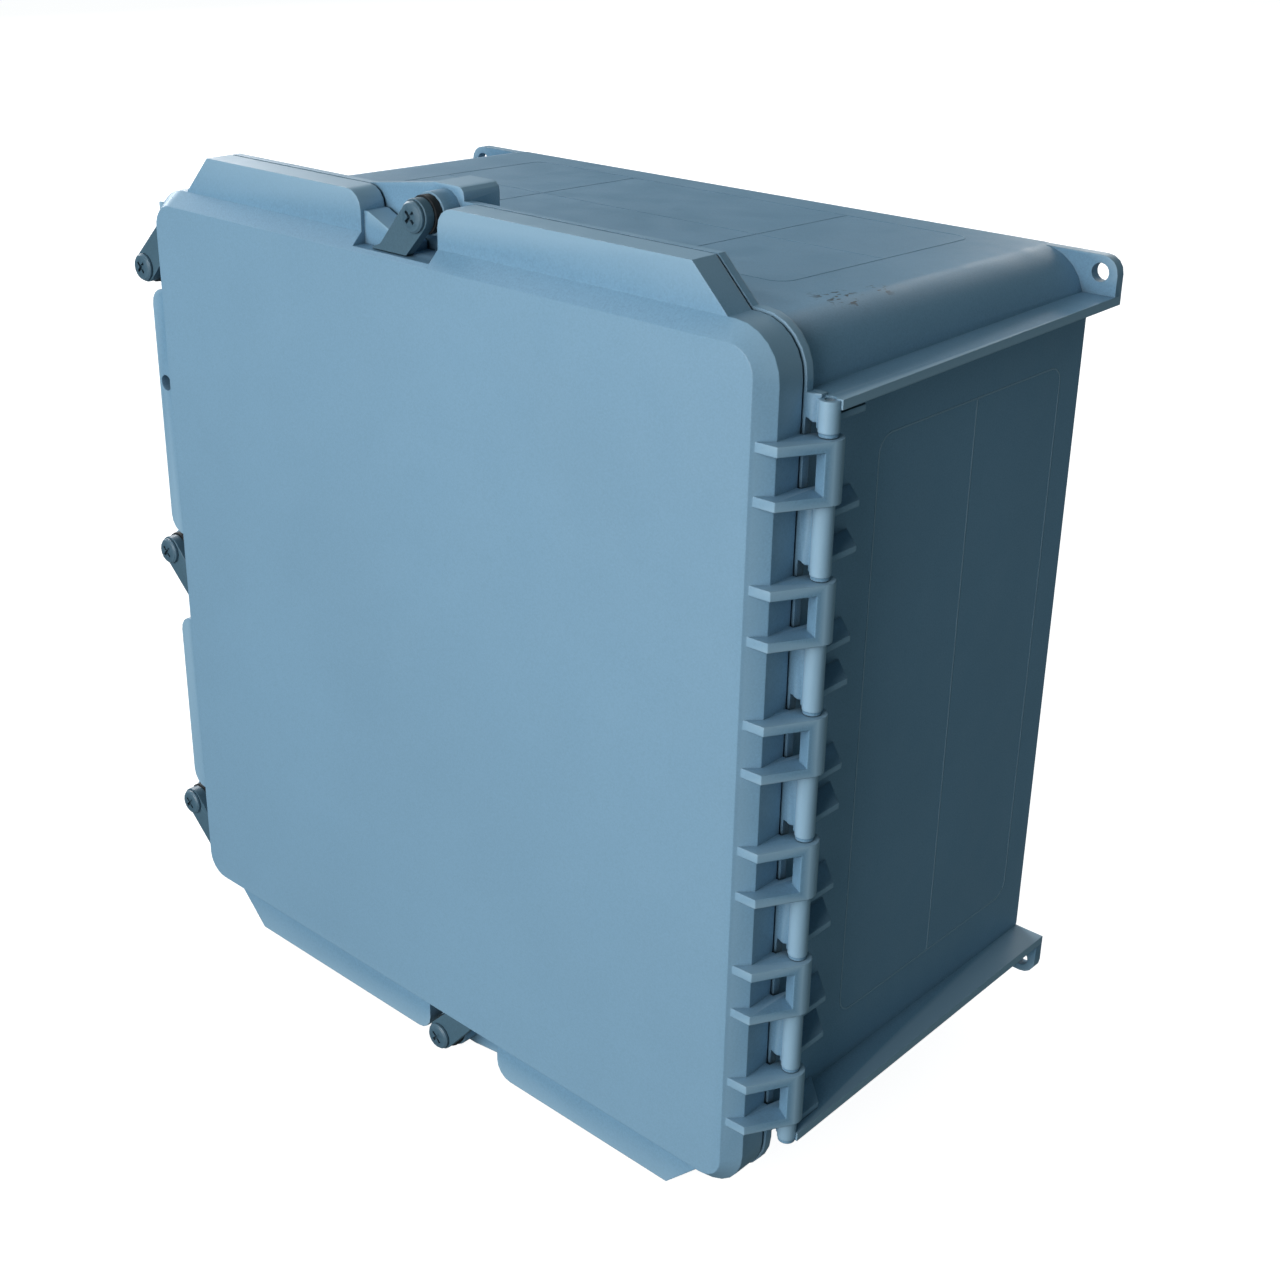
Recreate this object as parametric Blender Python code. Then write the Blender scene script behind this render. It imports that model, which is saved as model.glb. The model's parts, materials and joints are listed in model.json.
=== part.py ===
"""Hinged, non-metallic wall enclosure that holds the terminations of optical fibre cables.

Frame: metres, +Z up, +X towards the hinge side, +Y towards the wall. The origin is the centre
of the flat rear face that lies against the wall. Sizes below are in millimetres. A depth is
measured backwards from the cover's front face, so the rear face is at depth FRONT_TO_WALL.
"""
import math

import bmesh
import bpy
from mathutils import Matrix, Vector

MM = 0.001
FRONT_TO_WALL = 263.0
GAP = 0.3

# Cover: flat front, chamfered edge, straight rim with lobes.
COVER_FACE = (207.25, 209.9)
COVER_FACE_CORNER = 13.0
COVER_RIM = (215.0, 218.0)
COVER_RIM_CORNER = 24.0
COVER_CHAMFER_DEPTH = 8.0
COVER_BACK = 23.4
COVER_SKIN = 4.5
COVER_RECESS = (201.5, 203.5)
COVER_RECESS_CORNER = 12.0
GASKET_INSIDE = (203.8, 205.8)
GASKET_WIDTH = 4.4
GASKET_CORNER = 18.0
GASKET_FRONT = 20.0

# Lobes on the rim and on the body's flange, which carry the clamps.
LOBE_TOP = 238.0
LOBE_TOP_BASE = 187.0
LOBE_TOP_TIP = 167.0
LOBE_LEFT = 229.5
LOBE_LEFT_BASE = 197.0
LOBE_LEFT_TIP = 184.0
SEAL_HOLE = (-223.0, 104.0)
SEAL_HOLE_RADIUS = 4.6

# Body: flange, tapered shell, inner cavity.
FLANGE_FRONT = 24.9
FLANGE_BACK = 29.4
FLANGE_HALF = (216.0, 219.0)
FLANGE_CORNER = 25.0
SHELL_FRONT_HALF = (212.0, 214.0)
SHELL_BACK_HALF = (211.7, 208.9)
SHELL_CORNER = 26.0
LIP_HALF = (203.0, 205.0)
LIP_CORNER = 17.0
LIP_BACK = 31.0
CAVITY_FRONT_HALF = (207.5, 209.5)
CAVITY_BACK_HALF = (207.2, 204.4)
CAVITY_CORNER = 21.5
CAVITY_BACK = 258.5

# Ribs along the body's four long edges, ending in the wall lugs.
RIB_FRONT = 29.0
RIB_FRONT_OUT = 231.7
RIB_BACK_OUT = 229.05
RIB_FRONT_Z = (183.2, 187.6)
RIB_BACK_Z = (184.4, 189.0)
LUG_OUT = 229.0
LUG_FRONT = 257.0
LUG_Z = (184.6, 208.7)
LUG_CORNER = 9.0
LUG_HOLE = (219.6, 200.0)
LUG_HOLE_RADIUS = 4.75

# Hinge along the right side.
HINGE_X = 226.0
HINGE_DEPTH = 28.0
HINGE_PITCH = 63.5
BRACKET_COUNT = 6
BRACKET_SHIFT = -1.9
BRACKET_HALF = 14.15
BRACKET_ARM = 4.6
BRACKET_BEND = (219.7, 2.1)
BRACKET_BARREL = 7.1
BRACKET_BAR = 4.4
BRACKET_BAR_FRONT = (230.5, 20.8)
KNUCKLE_RADIUS = 4.7
KNUCKLE_GAP = 0.35
KNUCKLE_ENDS = (187.0, -188.4)
KNUCKLE_STEP = 5.0
COLLAR_RADIUS = 4.3
COLLAR_HEIGHT = 1.8
WEB_THICK = 3.0
PIN_RADIUS = 2.2
PIN_SPAN = (-188.0, 186.6)
BORE_RADIUS = 2.5

# Clamps: hub around the screw and a flat foot along the cover's edge.
CLAMP_FRONT = 4.5
CLAMP_BACK = 10.0
CLAMP_HUB = 8.5
CLAMP_FOOT = (7.0, 31.2)
CLAMP_HEEL = (25.5, 3.2)
CLAMP_HOLE = 2.9
WASHER_FRONT = 10.3
WASHER_BACK = 14.2
WASHER_RADIUS = 9.5
BOSS_FRONT = 14.5
BOSS_BACK = 48.0
BOSS_FRONT_RADIUS = 10.5
BOSS_RADIUS = 12.6
BOSS_CORNER = 4.5
SHOULDER_START = 58.0
NOTCH_NEAR = 12.0
NOTCH_FAR = 43.0
NOTCH_FAR_AT_CORNER = 36.0
NOTCH_ROUND = 10.0
NOTCH_FLOOR_TOP = 20.0
NOTCH_FLOOR_LEFT = 18.5
LEDGE_FRONT = 10.3
LEDGE_START = 12.5
SCREW_HEAD_RADIUS = 7.6
SCREW_HEAD_FRONT = 1.5
SCREW_SHANK = 2.3
SCREW_END = 29.0
INSERT_RADIUS = 4.0
INSERT_BORE = 2.7
INSERT_BACK = 30.0
POCKET_BACK = 33.0

# name: (x, z, turn about +Y in degrees, mirrored, floor below the screw, lobe above it, far end,
# rise of the ledge above the floor)
CLAMPS = {
    "top": (0.0, 232.0, 0, False, NOTCH_FLOOR_TOP, 6.0, NOTCH_FAR, 16.0),
    "bottom": (0.0, -232.0, 180, False, NOTCH_FLOOR_TOP, 6.0, NOTCH_FAR, 4.1),
    "left_upper": (-228.5, 171.0, -90, True, NOTCH_FLOOR_LEFT, 1.0, NOTCH_FAR_AT_CORNER, 8.0),
    "left_middle": (-228.5, 0.0, -90, False, NOTCH_FLOOR_LEFT, 1.0, NOTCH_FAR, 8.0),
    "left_lower": (-228.5, -171.0, -90, False, NOTCH_FLOOR_LEFT, 1.0, NOTCH_FAR_AT_CORNER, 8.0),
}

# Inside: back panel on four standoffs.
STANDOFF = 150.0
STANDOFF_RADIUS = 7.0
STANDOFF_FRONT = 246.0
STANDOFF_HOLE = 2.4
PANEL_HALF = 170.0
PANEL_FRONT = 243.7
PANEL_THICK = 2.0
ON_PANEL = PANEL_FRONT - GAP
SMALL_SCREW = 1.6
SMALL_SCREW_HOLE = 2.0

# Inside: adapter bracket with six adapters.
ADAPTER_COUNT = 6
ADAPTER_PITCH = 30.0
ADAPTER_DEPTH = 218.0
ADAPTER_HALF = (4.6, 6.4)
ADAPTER_Z = (-74.2, -48.2)
SHELF_HALF = 105.0
SHELF_FRONT = 200.0
SHELF_Z = (-62.0, -60.4)
SHELF_FLANGE_TOP = -40.0
SHEET = 1.6

# Inside: splice trays, the upper one on a vertical pin.
TRAY_X = (-88.0, 82.0)
TRAY_Z = (20.0, 130.0)
TRAY_WALL = 1.8
LOWER_TRAY_FRONT = 232.0
UPPER_TRAY = (219.0, 231.4)
TRAY_PIN_AT = (-96.0, 226.0)
TRAY_PIN_RADIUS = 1.6
TRAY_BORE = 1.9
TRAY_BARREL = 4.0
TRAY_LUGS = ((30.0, 38.0), (112.0, 120.0))
TRAY_KNUCKLE = (38.4, 111.6)

# Inside: slack spools and cable clamp.
SPOOLS = ((132.0, 75.0), (132.0, -5.0))
SPOOL_BORE = 15.0
SPOOL_DRUM = 24.0
SPOOL_LIP = 29.0
SPOOL_FRONT = 223.0
CABLE_BLOCK_HALF = 30.0
CABLE_BLOCK_Z = (-152.0, -136.0)
CABLE_SPLIT = 231.0
CABLE_STRAP_FRONT = 222.0
CABLE_AT = 11.0
CABLE_RADIUS = 6.5
CABLE_SCREW_AT = 24.0

CORNER_STEPS = 6
ROUND = 16

COLOURS = {
    "housing": ((0.20, 0.36, 0.48), 0.55, 0.0),
    "clamp": ((0.06, 0.12, 0.16), 0.50, 0.0),
    "seal": ((0.02, 0.02, 0.02), 0.80, 0.0),
    "steel": ((0.60, 0.61, 0.62), 0.35, 1.0),
    "brass": ((0.70, 0.52, 0.25), 0.35, 1.0),
    "panel": ((0.75, 0.76, 0.76), 0.45, 0.0),
    "adapter": ((0.05, 0.40, 0.16), 0.45, 0.0),
    "cap": ((0.85, 0.85, 0.80), 0.50, 0.0),
    "tray": ((0.10, 0.11, 0.12), 0.50, 0.0),
    "lid": ((0.55, 0.60, 0.62), 0.25, 0.0),
}


# Outlines -------------------------------------------------------------------------------------

def arc(across, along, radius, start, end, steps):
    """Points on a circle from one angle to another, in degrees, both ends included."""
    points = []
    for step in range(steps + 1):
        angle = math.radians(start + (end - start) * step / steps)
        points.append((across + radius * math.cos(angle), along + radius * math.sin(angle)))
    return points


def circle(across, along, radius, steps=ROUND):
    return arc(across, along, radius, 0.0, 360.0, steps)[:-1]


def rounded_rectangle(half, radius, steps=CORNER_STEPS):
    """Outline about the origin, starting in the upper right corner."""
    outline = []
    for quarter, (side, level) in enumerate(((1, 1), (-1, 1), (-1, -1), (1, -1))):
        across = side * (half[0] - radius)
        along = level * (half[1] - radius)
        outline += arc(across, along, radius, 90 * quarter, 90 * quarter + 90, steps)
    return outline


def rectangle(low, high):
    return [(low[0], low[1]), (high[0], low[1]), (high[0], high[1]), (low[0], high[1])]


def tangent(start, centre, radius, side):
    """Angle, in degrees at the centre, where a line from start touches a circle."""
    away = math.atan2(start[1] - centre[1], start[0] - centre[0])
    reach = math.hypot(start[0] - centre[0], start[1] - centre[1])
    return math.degrees(away + side * math.acos(radius / reach))


# Solids ---------------------------------------------------------------------------------------

def place(across, depth, up):
    return Vector((across * MM, (depth - FRONT_TO_WALL) * MM, up * MM))


def skin(name, rings, closed=False):
    """A solid through rings of points: capped at both ends, or closed round to the first ring."""
    shape = bmesh.new()
    levels = [[shape.verts.new(spot) for spot in ring] for ring in rings]
    pairs = list(zip(levels, levels[1:]))
    if closed:
        pairs.append((levels[-1], levels[0]))
    else:
        shape.faces.new(levels[0])
        shape.faces.new(levels[-1])
    count = len(levels[0])
    for near, far in pairs:
        for here in range(count):
            there = (here + 1) % count
            shape.faces.new((near[here], near[there], far[there], far[here]))
    bmesh.ops.recalc_face_normals(shape, faces=shape.faces)
    mesh = bpy.data.meshes.new(name)
    shape.to_mesh(mesh)
    shape.free()
    solid = bpy.data.objects.new(name, mesh)
    bpy.context.scene.collection.objects.link(solid)
    return solid


def plate(name, outline, front, back):
    """Solid of an (x, z) outline between two depths."""
    return skin(name, [[place(x, depth, z) for x, z in outline] for depth in (front, back)])


def column(name, outline, bottom, top):
    """Solid of an (x, depth) outline between two heights."""
    return skin(name, [[place(x, depth, z) for x, depth in outline] for z in (bottom, top)])


def beam(name, outline, left, right):
    """Solid of a (depth, z) outline between two places across."""
    return skin(name, [[place(x, depth, z) for depth, z in outline] for x in (left, right)])


def block(name, across, depths, heights):
    return plate(name, rectangle((across[0], heights[0]), (across[1], heights[1])), *depths)


def frame_ring(name, outer, inner, front, back):
    """Ring between two (x, z) outlines that have the same number of points."""
    loops = ((outer, front), (outer, back), (inner, back), (inner, front))
    rings = [[place(x, depth, z) for x, z in outline] for outline, depth in loops]
    return skin(name, rings, closed=True)


def turned(name, profile, steps=ROUND, closed=False):
    """Solid of (radius, depth) points turned about the Y axis."""
    rings = []
    for radius, depth in profile:
        rings.append([place(x, depth, z) for x, z in circle(0, 0, radius, steps)])
    return skin(name, rings, closed)


def combine(target, tool, operation):
    step = target.modifiers.new("step", 'BOOLEAN')
    step.operation = operation
    step.object = tool
    graph = bpy.context.evaluated_depsgraph_get()
    result = bpy.data.meshes.new_from_object(target.evaluated_get(graph))
    target.modifiers.clear()
    target.data = result
    bpy.data.objects.remove(tool)


def add(target, tool):
    combine(target, tool, 'UNION')


def cut(target, tool):
    combine(target, tool, 'DIFFERENCE')


def move_origin(solid, across, depth, up):
    """Put a solid's origin at a place on its joint's axis without moving the solid."""
    origin = place(across, depth, up)
    solid.data.transform(Matrix.Translation(-origin))
    solid.location = origin


def finish(solid, look, smooth=True):
    """Give a solid its own material and its shading."""
    colour, roughness, metallic = COLOURS[look]
    material = bpy.data.materials.new(solid.name)
    material.use_nodes = True
    shader = material.node_tree.nodes["Principled BSDF"]
    shader.inputs["Base Color"].default_value = (*colour, 1.0)
    shader.inputs["Roughness"].default_value = roughness
    shader.inputs["Metallic"].default_value = metallic
    solid.data.materials.clear()
    solid.data.materials.append(material)
    if smooth:
        solid.data.shade_smooth()
        solid.data.set_sharp_from_angle(angle=math.radians(30))


# Rim lobes and clamp stations -----------------------------------------------------------------

def top_lobe(front, back, side):
    """Lobe along the top (side 1) or bottom (side -1) edge."""
    inside = COVER_RECESS[1] + 8.0
    right = [(LOBE_TOP_BASE, inside), (LOBE_TOP_BASE, COVER_RIM[1]), (LOBE_TOP_TIP, LOBE_TOP)]
    outline = right + [(-x, z) for x, z in reversed(right)]
    return plate("lobe", [(x, side * z) for x, z in outline], front, back)


def left_lobe(front, back):
    inside = COVER_RECESS[0] + 8.0
    upper = [(-inside, LOBE_LEFT_BASE), (-COVER_RIM[0], LOBE_LEFT_BASE), (-LOBE_LEFT, LOBE_LEFT_TIP)]
    outline = upper + [(x, -z) for x, z in reversed(upper)]
    return plate("lobe", outline, front, back)


def at_station(solid, station):
    """Turn and move a solid made around the origin to its clamp's screw."""
    across, up, turn = CLAMPS[station][:3]
    solid.location = (across * MM, 0.0, up * MM)
    solid.rotation_euler = (0.0, math.radians(turn), 0.0)
    return solid


def handed(outline, station):
    """Mirror an outline whose arm points to -X where the clamp is a mirrored one."""
    return [(-x, z) for x, z in outline] if CLAMPS[station][3] else outline


def clamp_outline(station):
    """Hub around the screw and a flat foot just above the notch's floor."""
    floor = CLAMPS[station][4] - GAP
    near = (-CLAMP_FOOT[0], -floor)
    far = (-CLAMP_FOOT[1], -floor)
    heel = (-CLAMP_HEEL[0], CLAMP_HEEL[1] - floor)
    start = tangent(near, (0, 0), CLAMP_HUB, 1)
    end = tangent(heel, (0, 0), CLAMP_HUB, -1) % 360
    hub = arc(0, 0, CLAMP_HUB, start, end, 10)
    return handed([heel, (far[0], far[1] + 0.8), far, near] + hub, station)


def notch_outline(station):
    """Gap in the rim: a flat floor, and lobe ends rounded at their outer corners."""
    floor, lobe, far = CLAMPS[station][4:7]
    outside = lobe + 15.0
    centre = lobe - NOTCH_ROUND
    outline = [(-far, -floor), (NOTCH_NEAR, -floor)]
    outline += arc(NOTCH_NEAR + NOTCH_ROUND, centre, NOTCH_ROUND, 180, 90, 4)
    outline += [(NOTCH_NEAR + NOTCH_ROUND, outside), (-far - NOTCH_ROUND, outside)]
    outline += arc(-far - NOTCH_ROUND, centre, NOTCH_ROUND, 90, 0, 4)
    return handed(outline, station)


def ledge_outline(station):
    """Sloping web that the clamp's foot presses on."""
    floor, lobe, far, rise = CLAMPS[station][4:]
    low = -floor - 1.0
    tip = min(rise - floor, lobe - 2.0)
    reach = far + 1.0
    outline = [(-reach, low), (-LEDGE_START, low), (-LEDGE_START, -floor + 4.0), (-far + 3.0, tip)]
    outline.append((-reach, tip))
    return handed(outline, station)


# Cover ----------------------------------------------------------------------------------------

def bracket_heights():
    middle = (BRACKET_COUNT - 1) / 2
    return [(middle - index) * HINGE_PITCH + BRACKET_SHIFT for index in range(BRACKET_COUNT)]


def add_hinge_bracket(cover, height):
    """Two flat arms from the front edge to the pin, and a bar around the pin, flush with them."""
    centre = (HINGE_X, HINGE_DEPTH)
    side = COVER_RIM[0]
    heel = (side + 2.2, COVER_BACK - 0.4)
    start = tangent(BRACKET_BEND, centre, BRACKET_BARREL, 1)
    end = tangent(heel, centre, BRACKET_BARREL, -1) % 360
    arm = [(side - 5.0, COVER_BACK - 0.4), (side - 5.0, 12.0), (side - 9.0, 6.0), (side - 9.0, 1.4)]
    arm.append(BRACKET_BEND)
    arm += arc(*centre, BRACKET_BARREL, start, end, 8) + [heel]
    bar_x, bar_depth = BRACKET_BAR_FRONT
    window = [(side - 10.0, 0.0), (HINGE_X + 12.0, 0.0), (HINGE_X + 12.0, bar_depth - 4.35)]
    window += [(bar_x, bar_depth)] + arc(*centre, BRACKET_BAR, 228, 70, 6)
    window += [(HINGE_X + 4.0, HINGE_DEPTH + 12.0), (side - 10.0, HINGE_DEPTH + 12.0)]
    top = height + BRACKET_HALF
    bottom = height - BRACKET_HALF
    bracket = column("bracket", arm, bottom, top)
    cut(bracket, column("window", window, bottom + BRACKET_ARM, top - BRACKET_ARM))
    add(cover, bracket)


def make_cover():
    face = rounded_rectangle(COVER_FACE, COVER_FACE_CORNER)
    rim = rounded_rectangle(COVER_RIM, COVER_RIM_CORNER)
    levels = ((face, 0.0), (rim, COVER_CHAMFER_DEPTH), (rim, COVER_BACK))
    cover = skin("cover", [[place(x, depth, z) for x, z in outline] for outline, depth in levels])
    for side in (1, -1):
        add(cover, top_lobe(COVER_CHAMFER_DEPTH, COVER_BACK, side))
    add(cover, left_lobe(COVER_CHAMFER_DEPTH, COVER_BACK))
    recess = rounded_rectangle(COVER_RECESS, COVER_RECESS_CORNER)
    cut(cover, plate("recess", recess, COVER_SKIN, COVER_BACK + 1.0))
    outer = [edge + GASKET_WIDTH for edge in GASKET_INSIDE]
    groove = frame_ring("groove", rounded_rectangle(outer, GASKET_CORNER + GASKET_WIDTH),
                        rounded_rectangle(GASKET_INSIDE, GASKET_CORNER), GASKET_FRONT, COVER_BACK + 1.0)
    cut(cover, groove)
    for station in CLAMPS:
        cut(cover, at_station(plate("notch", notch_outline(station), -1.0, COVER_BACK + 1.0), station))
        add(cover, at_station(plate("ledge", ledge_outline(station), LEDGE_FRONT, COVER_BACK), station))
    cut(cover, plate("seal_hole", circle(*SEAL_HOLE, SEAL_HOLE_RADIUS), 0.0, COVER_BACK + 1.0))
    for height in bracket_heights():
        add_hinge_bracket(cover, height)
    cut(cover, column("bore", circle(HINGE_X, HINGE_DEPTH, BORE_RADIUS), *PIN_SPAN))
    move_origin(cover, HINGE_X, HINGE_DEPTH, 0.0)
    finish(cover, "housing")


def make_gasket():
    inner = [edge + GAP for edge in GASKET_INSIDE]
    outer = [edge + GASKET_WIDTH - GAP for edge in GASKET_INSIDE]
    gasket = frame_ring("cover_gasket",
                        rounded_rectangle(outer, GASKET_CORNER + GASKET_WIDTH - GAP),
                        rounded_rectangle(inner, GASKET_CORNER + GAP),
                        GASKET_FRONT + GAP, FLANGE_FRONT - GAP)
    finish(gasket, "seal")


# Enclosure body -------------------------------------------------------------------------------

def make_shell():
    flange = rounded_rectangle(FLANGE_HALF, FLANGE_CORNER)
    body = plate("enclosure_body", flange, FLANGE_FRONT, FLANGE_BACK)
    front = rounded_rectangle(SHELL_FRONT_HALF, SHELL_CORNER)
    back = rounded_rectangle(SHELL_BACK_HALF, SHELL_CORNER)
    levels = ((front, FLANGE_FRONT + 2.0), (back, FRONT_TO_WALL))
    rings = [[place(x, depth, z) for x, z in outline] for outline, depth in levels]
    add(body, skin("shell", rings))
    for side in (1, -1):
        add(body, top_lobe(FLANGE_FRONT, FLANGE_BACK, side))
    add(body, left_lobe(FLANGE_FRONT, FLANGE_BACK))
    return body


def add_corner_rib(body, side, level):
    """Rib along one long edge, a little closer to the box's middle at the wall."""
    rings = []
    sections = ((RIB_FRONT, RIB_FRONT_OUT, RIB_FRONT_Z), (FRONT_TO_WALL, RIB_BACK_OUT, RIB_BACK_Z))
    for depth, out, heights in sections:
        corners = rectangle((COVER_RECESS[0] + 7.0, heights[0]), (out, heights[1]))
        rings.append([place(side * x, depth, level * z) for x, z in corners])
    add(body, skin("rib", rings))


def add_lug(body, side, level):
    """Ear at the wall with the hole for a wall screw."""
    inside = SHELL_BACK_HALF[0] - SHELL_CORNER
    outline = [(inside, LUG_Z[0]), (LUG_OUT, LUG_Z[0])]
    outline += arc(LUG_OUT - LUG_CORNER, LUG_Z[1] - LUG_CORNER, LUG_CORNER, 0, 90, 4)
    outline.append((inside, LUG_Z[1]))
    add(body, plate("lug", [(side * x, level * z) for x, z in outline], LUG_FRONT, FRONT_TO_WALL))


def add_boss(body, station):
    """Boss that the clamp's screw goes into, with a sloping shoulder on the flange beside it."""
    floor, lobe, far = CLAMPS[station][4:7]
    corner = BOSS_RADIUS - BOSS_CORNER
    arch = arc(corner, corner, BOSS_CORNER, 0, 90, 3) + arc(-corner, corner, BOSS_CORNER, 90, 180, 3)
    arch += [(-BOSS_RADIUS, -floor), (BOSS_RADIUS, -floor)]
    add(body, at_station(plate("boss", arch, FLANGE_FRONT, BOSS_BACK), station))
    if far == NOTCH_FAR:
        shoulder = [(0.0, BOSS_RADIUS - 0.2), (-corner, BOSS_RADIUS - 0.2), (-SHOULDER_START, lobe - 0.3)]
        shoulder += [(-SHOULDER_START, -floor), (0.0, -floor)]
        add(body, at_station(plate("shoulder", shoulder, FLANGE_FRONT, FLANGE_BACK), station))
    pillar = turned("pillar", ((BOSS_FRONT_RADIUS, BOSS_FRONT), (BOSS_FRONT_RADIUS, FLANGE_BACK)))
    add(body, at_station(pillar, station))


def knuckle_spans():
    """Bottom and top of each body knuckle, which fill the spaces between the brackets."""
    edges = [KNUCKLE_ENDS[0]]
    for height in bracket_heights():
        edges.append(height + BRACKET_HALF + KNUCKLE_GAP)
        edges.append(height - BRACKET_HALF - KNUCKLE_GAP)
    edges.append(KNUCKLE_ENDS[1])
    return [(edges[index + 1], edges[index]) for index in range(0, len(edges), 2)]


def add_knuckle(body, bottom, top):
    """Barrel with a collar on the pin's line, a root on the flange and webs behind it."""
    side = HINGE_X - KNUCKLE_RADIUS
    root_top = RIB_FRONT_Z[1] + 1.0 if top == KNUCKLE_ENDS[0] else top - 0.4
    root = [(FLANGE_HALF[0] - 3.0, FLANGE_FRONT), (side - 2.9, FLANGE_FRONT)]
    root += [(side + 0.9, FLANGE_FRONT + 2.1)]
    root += [(side + 0.9, HINGE_DEPTH + 3.0), (FLANGE_HALF[0] - 7.0, HINGE_DEPTH + 3.0)]
    neck = [(side - 0.4, FLANGE_FRONT + 1.2), (HINGE_X, FLANGE_FRONT + 1.2)]
    neck += [(HINGE_X, HINGE_DEPTH + 3.0), (side - 0.4, HINGE_DEPTH + 3.0)]
    wall = SHELL_FRONT_HALF[0] - 2.5
    web = [(wall, HINGE_DEPTH + 2.0), (HINGE_X + 1.0, HINGE_DEPTH + 2.0)]
    web += [(HINGE_X + 1.0, HINGE_DEPTH + 24.0), (wall, HINGE_DEPTH + 40.0)]
    barrel = circle(HINGE_X, HINGE_DEPTH, KNUCKLE_RADIUS)
    collar = circle(HINGE_X, HINGE_DEPTH, COLLAR_RADIUS)
    add(body, column("barrel", barrel, bottom + COLLAR_HEIGHT, top))
    add(body, column("collar", collar, bottom, bottom + COLLAR_HEIGHT + 0.5))
    add(body, column("root", root, bottom + KNUCKLE_STEP, root_top))
    add(body, column("neck", neck, bottom + COLLAR_HEIGHT, top - 0.4))
    scoop = [(FLANGE_HALF[0] + 0.1, bottom), (side + 0.6, bottom), (side + 0.4, bottom + COLLAR_HEIGHT + 0.3)]
    scoop += [(side - 0.6, bottom + 3.0), (side - 2.0, bottom + 5.2), (side - 3.6, bottom + 6.4)]
    scoop.append((FLANGE_HALF[0] + 0.1, bottom + 6.6))
    cut(body, plate("scoop", scoop, FLANGE_FRONT - 1.0, HINGE_DEPTH + 1.0))
    if top - bottom > 3 * KNUCKLE_STEP + WEB_THICK:
        add(body, column("web", web, top - KNUCKLE_STEP - WEB_THICK, top - KNUCKLE_STEP))
    add(body, column("web", web, bottom + KNUCKLE_STEP + 0.5, bottom + KNUCKLE_STEP + 0.5 + WEB_THICK))


def cut_cavity(body):
    """Inside of the box, with a lip around the front opening."""
    lip = rounded_rectangle(LIP_HALF, LIP_CORNER)
    front = rounded_rectangle(CAVITY_FRONT_HALF, CAVITY_CORNER)
    back = rounded_rectangle(CAVITY_BACK_HALF, CAVITY_CORNER)
    levels = ((lip, FLANGE_FRONT - 1.0), (lip, LIP_BACK), (front, LIP_BACK), (back, CAVITY_BACK))
    rings = [[place(x, depth, z) for x, z in outline] for outline, depth in levels]
    cut(body, skin("cavity", rings))


def add_standoff(body, side, level):
    """Pillar inside for the back panel, with a blind hole for its screw."""
    outside = ((STANDOFF_RADIUS, STANDOFF_FRONT), (STANDOFF_RADIUS, CAVITY_BACK + 2.0))
    hole = ((STANDOFF_HOLE, STANDOFF_FRONT - 1.0), (STANDOFF_HOLE, CAVITY_BACK - 1.0))
    for profile, action in ((outside, add), (hole, cut)):
        pillar = turned("pillar", profile)
        pillar.location = (side * STANDOFF * MM, 0.0, level * STANDOFF * MM)
        action(body, pillar)


def make_body():
    body = make_shell()
    for side in (1, -1):
        for level in (1, -1):
            add_corner_rib(body, side, level)
            add_lug(body, side, level)
    for station in CLAMPS:
        add_boss(body, station)
    for bottom, top in knuckle_spans():
        add_knuckle(body, bottom, top)
    cut_cavity(body)
    for side in (1, -1):
        for level in (1, -1):
            hole = circle(side * LUG_HOLE[0], level * LUG_HOLE[1], LUG_HOLE_RADIUS)
            cut(body, plate("hole", hole, LUG_FRONT - 1.0, FRONT_TO_WALL + 1.0))
            add_standoff(body, side, level)
    for station in CLAMPS:
        pocket = ((INSERT_RADIUS + GAP, BOSS_FRONT - 1.0), (INSERT_RADIUS + GAP, POCKET_BACK))
        cut(body, at_station(turned("pocket", pocket), station))
    cut(body, plate("seal_hole", circle(*SEAL_HOLE, SEAL_HOLE_RADIUS), FLANGE_FRONT - 1.0, FLANGE_BACK + 1.0))
    bore = circle(HINGE_X, HINGE_DEPTH, BORE_RADIUS)
    cut(body, column("bore", bore, PIN_SPAN[0] - 2.0, PIN_SPAN[1] + 2.0))
    finish(body, "housing")


def make_hinge_pin():
    pin = column("hinge_pin", circle(HINGE_X, HINGE_DEPTH, PIN_RADIUS), *PIN_SPAN)
    finish(pin, "steel")


# Clamps ---------------------------------------------------------------------------------------

def cross_recess(front, depth, reach, half):
    """Cutter for a screw head's cross."""
    outline = []
    for quarter in range(4):
        turn = Matrix.Rotation(math.radians(90 * quarter + 45), 2)
        for corner in ((half, half), (half, reach), (-half, reach)):
            spot = turn @ Vector(corner)
            outline.append((spot.x, spot.y))
    return plate("cross", outline, front, front + depth)


def make_screw(name, head_radius, head_front, head_back, shank, end):
    """Pan head screw on the Y axis through the object's origin."""
    profile = ((head_radius * 0.55, head_front), (head_radius * 0.88, head_front + 0.5),
               (head_radius, head_front + 1.5), (head_radius, head_back), (shank, head_back), (shank, end))
    screw = turned(name, profile)
    cut(screw, cross_recess(head_front - 1.0, 2.6, head_radius * 0.5, head_radius * 0.11))
    return screw


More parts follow.
